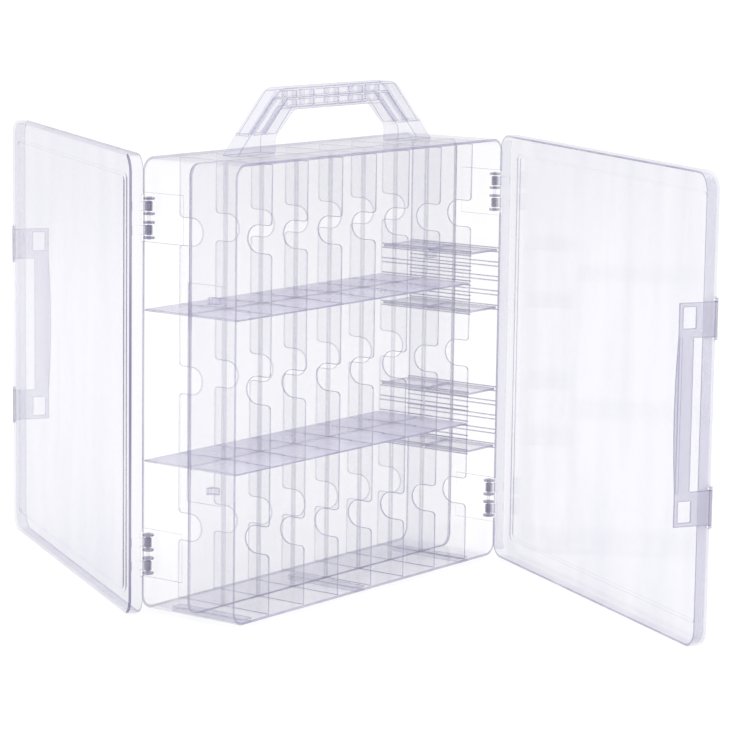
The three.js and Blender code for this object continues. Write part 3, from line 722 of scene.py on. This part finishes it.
class ORGANISER_OT_dividers(bpy.types.Operator):
    """Builds the seven upright dividers of the front and of the back, with finger notches"""
    bl_idname = "organiser.dividers"
    bl_label = "Dividers"

    def execute(self, context):
        sizes = context.scene.organiser_case
        low, high = PARTITION_LOW.z, PARTITION_HIGH.z
        rows = [low, *SHELF_HEIGHTS, high]
        notches = [
            prism(notch_outline(sizes, (a + b) / 2), "X", -2 * MM, 2 * MM)
            for a, b in zip(rows, rows[1:])]
        half = SHEET / 2 + CASE_GAP
        slots = [
            block((-3 * MM, 0, shelf - half), (3 * MM, sizes.lap + CASE_GAP / 2, shelf + half))
            for shelf in SHELF_HEIGHTS]
        section = [(x, y) for y, x in sheet_section(DIVIDER_LOW.y, RIM, SHEET / 2, sizes.root)]
        plain = prism(section, "Z", low, high)
        crossed = soften(combine(plain.copy(), removed=[*notches, *slots]), sizes.edge)
        whole = soften(combine(plain, removed=notches), sizes.edge)
        for side in SIDES:
            for i, x in enumerate(DIVIDER_XS):
                divider = on_side(whole if i == DIVIDERS - 1 else crossed, side, (x, 0, 0))
                name = f"{side}_divider_{i + 1}"
                add_piece(
                    name, divider, finish("plate"), "case", [name],
                    edge=lambda normal, centre: divider_edge(normal, centre, sizes.root))
        return {"FINISHED"}


class ORGANISER_OT_shelves(bpy.types.Operator):
    """Builds the two shelves of the front and of the back, slotted over the dividers"""
    bl_idname = "organiser.shelves"
    bl_label = "Shelves"

    def execute(self, context):
        sizes = context.scene.organiser_case
        half = SHEET / 2 + CASE_GAP
        section = sheet_section(SHELF_LOW.y, RIM, SHEET / 2, sizes.root)
        plain = prism(section, "X", SHELF_LOW.x, SHELF_HIGH.x)
        slots = [
            block((x - half, sizes.lap - CASE_GAP / 2, -3 * MM), (x + half, RIM + MM, 3 * MM))
            for x in DIVIDER_XS[:-1]]
        shelf = soften(combine(plain, removed=slots), sizes.edge)
        # The shelves take the lighter shelf colour, painted light.
        for side in SIDES:
            for name, height in zip(("lower", "upper"), SHELF_HEIGHTS):
                piece = f"{side}_shelf_{name}"
                add_piece(
                    piece, on_side(shelf, side, (0, 0, height)), finish("shelf"), "case",
                    [piece],
                    edge=lambda normal, centre: (
                        abs(centre.y) > sizes.lap and abs(normal.z) < 0.8
                        and abs(normal.x) < 0.3))
        return {"FINISHED"}


class ORGANISER_OT_small_plates(bpy.types.Operator):
    """Builds the loose plates that slot into the last column"""
    bl_idname = "organiser.small_plates"
    bl_label = "Loose plates"

    def execute(self, context):
        # The loose plates take the lighter shelf colour, painted light.
        for side in SIDES:
            for i in range(SMALL_PLATES):
                name = f"{side}_small_plate_{i + 1}"
                low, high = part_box(name)
                outline = rounded_rectangle(low.x, high.x, low.y, high.y, 1.5 * MM)
                plate = soften(prism(outline, "Z", low.z, high.z), 0.35 * MM)
                body = name if side == "back" else "case"
                add_piece(
                    name, plate, finish("loose plate"), body, [name],
                    edge=lambda normal, centre: abs(normal.z) < 0.8)
        return {"FINISHED"}


# ---- handle ----------------------------------------------------------------------------
class ORGANISER_OT_handle(bpy.types.Operator):
    """Builds the ribbed carrying handle"""
    bl_idname = "organiser.handle"
    bl_label = "Carrying handle"

    def execute(self, context):
        sizes = context.scene.organiser_handle
        top_of_case = case_outline(0)[3]
        face = HANDLE_HIGH.y
        web = sizes.web / 2
        pockets = self.grip_pockets(sizes, top_of_case)
        for sign in (-1, 1):
            pockets += self.arm_pockets(sizes, top_of_case, sign)
        cuts = []
        for outline in pockets:
            cuts.append(prism(outline, "Y", -face - MM, -web))
            cuts.append(prism(outline, "Y", web, face + MM))
        blank = prism(self.outline(sizes, top_of_case), "Y", -face, face)
        handle = combine(blank, added=self.ledges(sizes, top_of_case, face), removed=cuts)
        handle = soften(handle, 0.4 * MM)
        add_piece(
            "carrying_handle", handle, finish("handle"), "case",
            ["carrying_handle"])
        return {"FINISHED"}

    def outline(self, sizes, base):
        foot, top = HANDLE_LOW.z, HANDLE_HIGH.z
        slope = (HANDLE_HIGH.x - sizes.top) / (top - base)
        bend = sizes.rounding
        right = [
            *curve((sizes.top - bend, top), (sizes.top, top),
                   (sizes.top + slope * bend, top - bend)),
            (HANDLE_HIGH.x, foot), (sizes.opening_foot, foot),
            *curve((sizes.opening_foot, base + sizes.knee - 3 * MM),
                   (sizes.opening_foot, base + sizes.knee),
                   (sizes.opening_foot - 2.4 * MM, base + sizes.knee + 2 * MM)),
            *curve((sizes.opening_top + 2.4 * MM, base + sizes.grip - 2 * MM),
                   (sizes.opening_top, base + sizes.grip),
                   (sizes.opening_top - 3 * MM, base + sizes.grip)),
        ]
        left = [(-x, z) for x, z in reversed(right)]
        return [*right, *left]

    def ledges(self, sizes, base, face):
        """A thin plate across each arm, on top of its foot block."""
        low = base + sizes.foot - sizes.rib / 2
        outer = HANDLE_HIGH.x + (sizes.top - HANDLE_HIGH.x) * sizes.foot / (HANDLE_HIGH.z - base)
        plates = []
        for sign in (-1, 1):
            ends = sorted((
                sign * (outer + sizes.ledge_out), sign * (sizes.opening_foot - sizes.ledge_in)))
            plates.append(block(
                (ends[0], -face + MM, low), (ends[1], face - MM, low + sizes.rib)))
        return plates

    def rib_places(self, sizes):
        return [-sizes.last_rib, -sizes.mid_rib, 0, sizes.mid_rib, sizes.last_rib]

    def grip_pockets(self, sizes, base):
        low = base + sizes.grip + sizes.skin
        high = HANDLE_HIGH.z - sizes.skin
        middle = (low + high) / 2
        half = sizes.rib / 2
        ribs = self.rib_places(sizes)
        pockets = []
        for before, after in zip(ribs, ribs[1:]):
            for z0, z1 in ((low, middle - half), (middle + half, high)):
                pockets.append(rounded_rectangle(before + half, after - half, z0, z1, 0.8 * MM))
        return pockets

    def arm_pockets(self, sizes, base, sign):
        slant = 1.5 * sizes.skin
        half = sizes.rib / 2

        def outer(z):
            share = (z - base) / (HANDLE_HIGH.z - base)
            return HANDLE_HIGH.x + (sizes.top - HANDLE_HIGH.x) * share - slant

        def inner(z):
            share = (z - base - sizes.knee) / (sizes.grip - sizes.knee)
            return sizes.opening_foot + (sizes.opening_top - sizes.opening_foot) * share + slant

        def centre(z):
            return (outer(z) + inner(z)) / 2

        start = sizes.last_rib + half
        low = base + sizes.foot
        bend = base + sizes.grip
        high = HANDLE_HIGH.z - sizes.skin
        middle = (bend + sizes.skin + high) / 2
        outside = [
            (outer(low), low), (outer(high), high), (start, high), (start, middle + half),
            (centre(middle + half) + half, middle + half), (centre(low) + half, low)]
        inside = [
            (centre(low) - half, low), (centre(middle - half) - half, middle - half),
            (start, middle - half), (start, bend + sizes.skin), (inner(bend), bend + sizes.skin),
            (inner(low), low)]
        return [[(sign * x, z) for x, z in points] for points in (outside, inside)]


# ---- lids, latches and pins ------------------------------------------------------------
def latch_legs():
    """The window's middle and the two ends of each latch leg."""
    fittings = bpy.context.scene.organiser_fittings
    _, _, bottom, top, _ = case_outline(0)
    centre = (bottom + top) / 2
    legs = []
    for sign in (-1, 1):
        window = centre + sign * fittings.latch_spacing / 2
        ends = sorted((
            window - sign * fittings.leg_outer, window + sign * fittings.leg_inner))
        legs.append((window, ends))
    return legs


def latch_pivot():
    """Where the latch turns on a lid drawn shut in front."""
    place = Vector(joint("front_latch_hinge")["pos_m"])
    shut = lid_matrix("front").inverted() @ place
    return shut.x, shut.y


class ORGANISER_OT_lids(bpy.types.Operator):
    """Builds the two lids, each a shallow tray with a stepped field, knuckles and ears"""
    bl_idname = "organiser.lids"
    bl_label = "Lids"

    def execute(self, context):
        tray = self.tray(context.scene.organiser_lid)
        rooms, arms, knuckles, bores = self.hinge_shapes(context)
        ears, ear_bores = self.latch_ears(context)
        lid = combine(tray, removed=rooms)
        lid = combine(lid, added=[*arms, *ears], removed=[*bores, *ear_bores])
        lid = soften(lid, 0.25 * MM, segments=1, sharp=50)
        for side in SIDES:
            # Painted light: the back lid's skirt takes a lighter copy of the front lid's skirt
            # material.
            skirt = finish("skirt" if side == "front" else "lit skirt")[:1]
            add_piece(
                f"{side}_lid", lid.copy(), finish("lid") + skirt, f"{side}_lid",
                [f"{side}_lid"], matrix=lid_matrix(side),
                edge=lambda normal, centre: self.edge_of(side, normal, centre))
            add_piece(
                f"{side}_lid_knuckles", group(knuckles), finish("hinge"), f"{side}_lid",
                matrix=lid_matrix(side))
        return {"FINISHED"}

    def edge_of(self, side, normal, centre):
        """The material of a lid's face. Edges are the end of the skirt and the step of the
        field beside the hinge. There, on the back lid, the step and shoulder take painted shade:
        a dark, dense strip standing for the dark things round them. The skirt is denser than the
        panel where it runs beside the latch, and the back lid's skirt takes a lighter copy,
        painted light."""
        sizes = bpy.context.scene.organiser_lid
        depth = centre.y + RIM + sizes.proud
        left, right, bottom, top, _ = case_outline(sizes.field - sizes.clear - sizes.skirt - MM)
        in_field = left < centre.x < right and bottom < centre.z < top
        if in_field:
            beside_hinge = centre.x > right - HINGE_SIDE
            # The back lid's step beside the hinge takes the painted shade, the front lid's the
            # edge material.
            return (abs(normal.y) < 0.8 and beside_hinge) * (2 if side == "back" else 1)
        # Painted shade on the back lid's shoulder beside the hinge.
        if side == "back" and depth < sizes.shoulder and normal.x > 0.2 and abs(normal.y) > 0.1:
            return 2
        if normal.x < -0.7 or normal.x > 0.7 and centre.x < left:
            return 3
        return depth > sizes.depth - MM and abs(normal.y) > 0.5

    def tray(self, sizes):
        """Rings of a rounded rectangle, from the middle of the outer face round the skirt to
        the middle of the inner face."""
        margin = sizes.clear + sizes.skirt
        face = -RIM - sizes.proud
        step, field, panel = sizes.step, sizes.field, sizes.panel
        outer_field = field + panel
        small = 0.4 * MM
        shoulder = sizes.shoulder
        end = sizes.depth
        half = sizes.skirt / 2
        profile = [
            (outer_field + small, step), (outer_field, step - small), (outer_field, small),
            (outer_field - small, 0),
            *[(shoulder + x, shoulder + d) for x, d in arc(0, 0, shoulder, -90, -180)],
            *[(half + x, end - half + d) for x, d in arc(0, 0, half, 180, 0)],
            *[(sizes.skirt + MM + x, panel + MM + d) for x, d in arc(0, 0, MM, 180, 270)],
            (field - small, panel), (field, panel + small), (field, panel + step - small),
            (field + small, panel + step),
        ]
        bm = bmesh.new()
        rings = []
        for inset, depth in profile:
            left, right, bottom, top, radius = case_outline(inset - margin)
            radius = max(radius, sizes.field_corner)
            rings.append([
                bm.verts.new((x, face + depth, z))
                for x, z in rounded_corners(left, right, bottom, top, radius)])
        join_rings(bm, rings)
        bm.faces.new(rings[0])
        bm.faces.new(rings[-1])
        return to_mesh("tray", bm)

    def hinge_shapes(self, context):
        lid, fittings = context.scene.organiser_lid, context.scene.organiser_fittings
        margin = lid.clear + lid.skirt
        right = case_outline(0)[1]
        side = right + margin
        skirt_end = -RIM - lid.proud + lid.depth
        rooms, arms, knuckles, bores = [], [], [], []
        panel = -RIM - lid.proud + lid.panel
        for height in HINGE_HEIGHTS:
            half = HINGE_HALF + MM
            rooms.append(block(
                (right - MM, LID_PIN.y - fittings.ear - MM, height - half),
                (side + MM, skirt_end + MM, height + half)))
            bores.append(upright(
                LID_PIN.x, LID_PIN.y, fittings.knuckle, height - HINGE_HALF,
                height + HINGE_HALF))
            half_ear = fittings.ear_thick / 2 + fittings.knuckle_gap
            for sign in (-1, 1):
                ends = sorted((
                    height + sign * (fittings.ear_inner + half_ear),
                    height + sign * (fittings.ear_outer - half_ear)))
                arms.append(block(
                    (side - lid.skirt, panel, ends[0]), (side, LID_PIN.y, ends[1])))
                knuckle = combine(
                    upright(LID_PIN.x, LID_PIN.y, fittings.knuckle, *ends),
                    removed=[
                        upright(LID_PIN.x, LID_PIN.y, fittings.bore, ends[0] - MM, ends[1] + MM),
                        block(
                            (LID_PIN.x - MM, LID_PIN.y, ends[0] - MM),
                            (LID_PIN.x + MM, LID_PIN.y + 2 * fittings.knuckle, ends[1] + MM))])
                knuckles.append(soften(knuckle, 0.3 * MM))
        return rooms, arms, knuckles, bores

    def latch_ears(self, context):
        lid, fittings = context.scene.organiser_lid, context.scene.organiser_fittings
        x, y = latch_pivot()
        inner = case_outline(0)[0] - lid.clear - lid.skirt / 2
        radius, thick = fittings.latch_ear, fittings.latch_ear_thick
        ears, bores = [], []
        for _, (low, high) in latch_legs():
            for z in (low - CASE_GAP - thick, high + CASE_GAP):
                ears.append(upright(x, y, radius, z, z + thick))
                ears.append(block((x, y - radius, z), (inner, y + radius, z + thick)))
            bores.append(upright(
                x, y, fittings.latch_pin + CASE_GAP, low - 3.3 * MM, high + 3.3 * MM))
        return ears, bores


def rounded_corners(left, right, bottom, top, radius):
    """A rounded rectangle with the same number of points whatever its radius."""
    points = []
    steps = 15
    corners = [
        (right - radius, bottom + radius, -90), (right - radius, top - radius, 0),
        (left + radius, top - radius, 90), (left + radius, bottom + radius, 180)]
    for x, z, start in corners:
        for i in range(steps + 1):
            turn = math.radians(start + 90 * i / steps)
            points.append((x + radius * math.cos(turn), z + radius * math.sin(turn)))
    return points


class ORGANISER_OT_latches(bpy.types.Operator):
    """Builds the two long pull latches"""
    bl_idname = "organiser.latches"
    bl_label = "Latches"

    def execute(self, context):
        sizes = context.scene.organiser_fittings
        x, y = latch_pivot()
        tip, bar = y + sizes.latch_reach, y + sizes.latch_bar
        (lower, (low, low_inner)), (upper, (high_inner, high)) = latch_legs()
        middle = (lower + upper) / 2
        outline = [
            (y, low), (tip, low), (tip, low_inner),
            *curve((tip, low_inner), (tip + 2 * sizes.latch_bow, middle), (tip, high_inner), 24),
            (tip, high), (y, high), (y, high_inner), (bar, high_inner), (bar, low_inner),
            (y, low_inner)]
        outside, inside = x - sizes.latch / 2, x + sizes.latch / 2
        windows = []
        near, half = y + sizes.window_from, sizes.window_height / 2
        for window in (lower, upper):
            windows.append(prism(rounded_rectangle(
                near, near + sizes.window_width, window - half, window + half, 0.6 * MM),
                "X", outside - MM, inside + MM))
        lip = block(
            (outside - sizes.lip_proud, tip - sizes.lip, low_inner), (inside, tip, high_inner))
        knuckles = [upright(x, y, sizes.latch_knuckle, a, b) for _, (a, b) in latch_legs()]
        bores = [
            upright(x, y, sizes.latch_pin + CASE_GAP, a - MM, b + MM)
            for _, (a, b) in latch_legs()]
        latch = combine(
            prism(outline, "X", outside, inside), added=[lip, *knuckles],
            removed=[*windows, *bores])
        latch = soften(latch, 0.3 * MM)
        # Painted light: the back latch takes a lighter copy of the front latch's material.
        for side in SIDES:
            add_piece(
                f"{side}_latch", latch.copy(),
                finish("latch" if side == "front" else "lit latch"), f"{side}_latch",
                [f"{side}_latch"],
                edge=lambda normal, centre: abs(normal.x) < 0.7, matrix=lid_matrix(side))
        return {"FINISHED"}


class ORGANISER_OT_pins(bpy.types.Operator):
    """Builds the hinge pins and the latch pins, each with a rounded head"""
    bl_idname = "organiser.pins"
    bl_label = "Pins"

    def execute(self, context):
        sizes = context.scene.organiser_fittings
        for side, angle in SIDES.items():
            for name in ("lower", "upper"):
                node = f"{side}_lid_pin_{name}"
                low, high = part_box(node)
                pin = self.pin(LID_PIN.x, LID_PIN.y, sizes.pin, sizes.pin_head, low.z, high.z)
                pin.transform(Matrix.Rotation(angle, 4, "Z"))
                add_piece(node, pin, finish("pin"), "case", [node])
                node = f"{side}_latch_pin_{name}"
                low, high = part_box(node)
                x, y = latch_pivot()
                pin = self.pin(x, y, sizes.latch_pin, sizes.latch_pin_head, low.z, high.z)
                add_piece(
                    node, pin, finish("pin"), f"{side}_lid", [node],
                    matrix=lid_matrix(side))
        return {"FINISHED"}

    def pin(self, x, y, radius, head_radius, low, high):
        head = 0.8 * MM
        chamfer = 0.3 * MM
        profile = [
            (0, low), (radius - chamfer, low), (radius, low + chamfer), (radius, high - head),
            (head_radius, high - head), (head_radius, high - chamfer),
            (head_radius - chamfer, high), (0, high)]
        return lathe(x, y, profile)


# ---- studio ----------------------------------------------------------------------------
class ORGANISER_OT_stage(bpy.types.Operator):
    """Builds the floor, the lights and the camera"""
    bl_idname = "organiser.stage"
    bl_label = "Studio"

    def execute(self, context):
        scene = context.scene
        scene.view_settings.view_transform = "Standard"
        scene.cycles.transparent_max_bounces = 128
        self.floor(scene)
        self.world(scene)
        self.lights(scene)
        self.camera(scene)
        return {"FINISHED"}

    def floor(self, scene):
        """A white light table, which glows evenly so that nothing throws a dark shadow."""
        bm = bmesh.new()
        bmesh.ops.create_circle(bm, cap_ends=True, segments=64, radius=6)
        floor = bpy.data.objects.new("floor", to_mesh("floor", bm))
        floor.location.z = -0.1 * MM
        card = bpy.data.materials.new("white light table")
        card.use_nodes = True
        tree = card.node_tree
        tree.nodes.clear()
        diffuse = add_node(tree, "ShaderNodeBsdfDiffuse", Color=srgb("A0A0A1"))
        glow = add_node(tree, "ShaderNodeEmission", Color=srgb("FFFFFF"), Strength=0.66)
        both = add_node(tree, "ShaderNodeAddShader")
        tree.links.new(diffuse.outputs[0], both.inputs[0])
        tree.links.new(glow.outputs[0], both.inputs[1])
        add_node(tree, "ShaderNodeOutputMaterial", Surface=both.outputs[0])
        floor.data.materials.append(card)
        scene.collection.objects.link(floor)

    def world(self, scene):
        """An even white surround; what the plastic mirrors is a little dimmer."""
        scene.world = bpy.data.worlds.new("white surround")
        scene.world.use_nodes = True
        tree = scene.world.node_tree
        tree.nodes.clear()
        path = add_node(tree, "ShaderNodeLightPath")
        white = add_node(tree, "ShaderNodeBackground", Color=srgb("FFFFFF"), Strength=1.15)
        dim = add_node(tree, "ShaderNodeBackground", Color=srgb("F0EFF5"), Strength=1.05)
        mix = add_node(tree, "ShaderNodeMixShader", Fac=path.outputs["Is Glossy Ray"])
        tree.links.new(white.outputs[0], mix.inputs[1])
        tree.links.new(dim.outputs[0], mix.inputs[2])
        add_node(tree, "ShaderNodeOutputWorld", Surface=mix.outputs[0])

    def lights(self, scene):
        centre = middle_of("case_wall")
        for name, place, size, power in (
            ("key", (-1.2, -1.6, 1.6), 1.2, 14), ("fill", (1.6, -1.2, 0.9), 1.4, 7),
            ("back", (0.6, 1.8, 1.4), 1.4, 8),
        ):
            data = bpy.data.lights.new(name, "AREA")
            data.shape = "DISK"
            data.size = size
            data.energy = power
            light = bpy.data.objects.new(name, data)
            light.location = centre + Vector(place)
            light.visible_glossy = False
            light.rotation_euler = (centre - light.location).to_track_quat("-Z", "Y").to_euler()
            scene.collection.objects.link(light)

    def camera(self, scene):
        settings = scene.organiser_studio
        a, e = settings.azimuth, settings.elevation
        back = Vector((math.sin(a) * math.cos(e), -math.cos(a) * math.cos(e), math.sin(e)))
        data = bpy.data.cameras.new("camera")
        data.lens = settings.lens
        camera = bpy.data.objects.new("camera", data)
        upright_view = (-back).to_track_quat("-Z", "Y").to_matrix().to_4x4()
        roll = Matrix.Rotation(settings.roll, 4, "Z")
        place = Matrix.Translation(Vector(settings.aim) + back * settings.distance)
        camera.matrix_world = place @ upright_view @ roll
        scene.collection.objects.link(camera)
        scene.camera = camera


# ---- add-on ----------------------------------------------------------------------------
class ORGANISER_PT_panel(bpy.types.Panel):
    """Lists the pieces to build and their sizes"""
    bl_idname = "ORGANISER_PT_panel"
    bl_label = "Sewing organiser"
    bl_space_type = "VIEW_3D"
    bl_region_type = "UI"
    bl_category = "Sewing box"

    def draw(self, context):
        for operator in OPERATORS:
            self.layout.operator(operator.bl_idname)
        for name, properties in PROPERTIES.items():
            box = self.layout.box()
            for key in properties.__annotations__:
                box.prop(getattr(context.scene, name), key)


OPERATORS = (
    ORGANISER_OT_case_wall, ORGANISER_OT_case_fittings, ORGANISER_OT_partition,
    ORGANISER_OT_dividers, ORGANISER_OT_shelves, ORGANISER_OT_small_plates,
    ORGANISER_OT_handle, ORGANISER_OT_lids, ORGANISER_OT_latches, ORGANISER_OT_pins,
    ORGANISER_OT_stage)
PROPERTIES = {
    "organiser_case": CaseSizes, "organiser_lid": LidSizes,
    "organiser_fittings": FittingSizes, "organiser_handle": HandleSizes,
    "organiser_colours": ClearColours, "organiser_studio": StudioSettings}


def register():
    for cls in (*PROPERTIES.values(), *OPERATORS, ORGANISER_PT_panel):
        bpy.utils.register_class(cls)
    for name, cls in PROPERTIES.items():
        setattr(bpy.types.Scene, name, bpy.props.PointerProperty(type=cls))


def unregister():
    for name in PROPERTIES:
        delattr(bpy.types.Scene, name)
    for cls in (ORGANISER_PT_panel, *reversed(OPERATORS), *PROPERTIES.values()):
        bpy.utils.unregister_class(cls)


def main():
    register()
    for operator in OPERATORS:
        category, name = operator.bl_idname.split(".")
        getattr(getattr(bpy.ops, category), name)()


if __name__ == "__main__":
    main()
